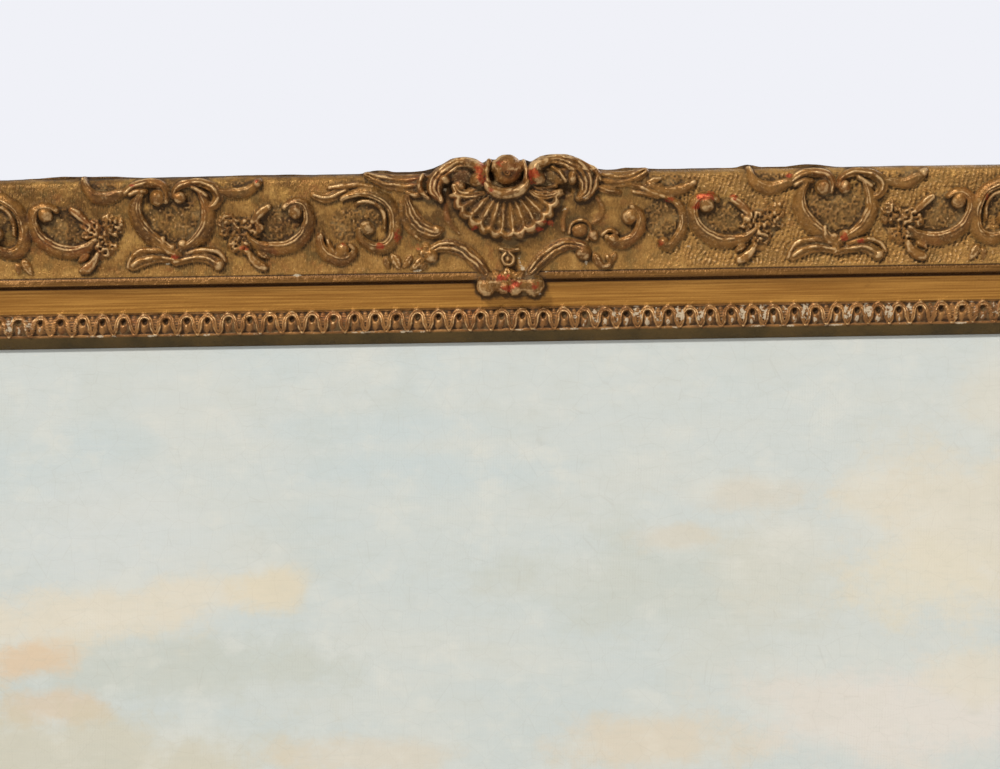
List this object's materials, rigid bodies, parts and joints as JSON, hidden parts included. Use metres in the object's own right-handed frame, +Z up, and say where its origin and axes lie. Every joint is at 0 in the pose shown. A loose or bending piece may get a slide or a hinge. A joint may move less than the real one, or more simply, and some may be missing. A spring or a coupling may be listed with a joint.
{
  "type": "framed oil painting",
  "caption": "Landscape-format oil painting of a cloudy sky on a stretched canvas, in a gilt carved frame with a shell crest, scrollwork panels, plain cove and beaded sight edge.",
  "frame": {"origin": "on the flat back of the top rail, at the middle of the frame's width and of the rail's width, where the frame bears on the wall that it hangs on", "axes": "+X to the viewer's right along the frame's width, +Z up, +Y back into the wall, so the picture faces -Y"},
  "size_m": [1.0188, 0.0586, 0.8187],
  "materials": {
    "gilt": "worn gilding over red bole and gesso on carved wood, satin",
    "canvas": "oil paint on linen, low sheen",
    "stretcher": "bare aged pine, matt",
    "pins": "dull steel"
  },
  "bodies": {
    "root": {"top_rail": "gilt", "right_rail": "gilt", "bottom_rail": "gilt", "left_rail": "gilt", "canvas": "canvas", "stretcher_top": "stretcher", "stretcher_right": "stretcher", "stretcher_bottom": "stretcher", "stretcher_left": "stretcher", "stretcher_key_top_a": "stretcher", "stretcher_key_top_b": "stretcher", "stretcher_key_right_a": "stretcher", "stretcher_key_right_b": "stretcher", "stretcher_key_bottom_a": "stretcher", "stretcher_key_bottom_b": "stretcher", "stretcher_key_left_a": "stretcher", "stretcher_key_left_b": "stretcher", "canvas_pin_top_a": "pins", "canvas_pin_top_b": "pins", "canvas_pin_right_a": "pins", "canvas_pin_right_b": "pins", "canvas_pin_bottom_a": "pins", "canvas_pin_bottom_b": "pins", "canvas_pin_left_a": "pins", "canvas_pin_left_b": "pins"}
  },
  "joints": []
}
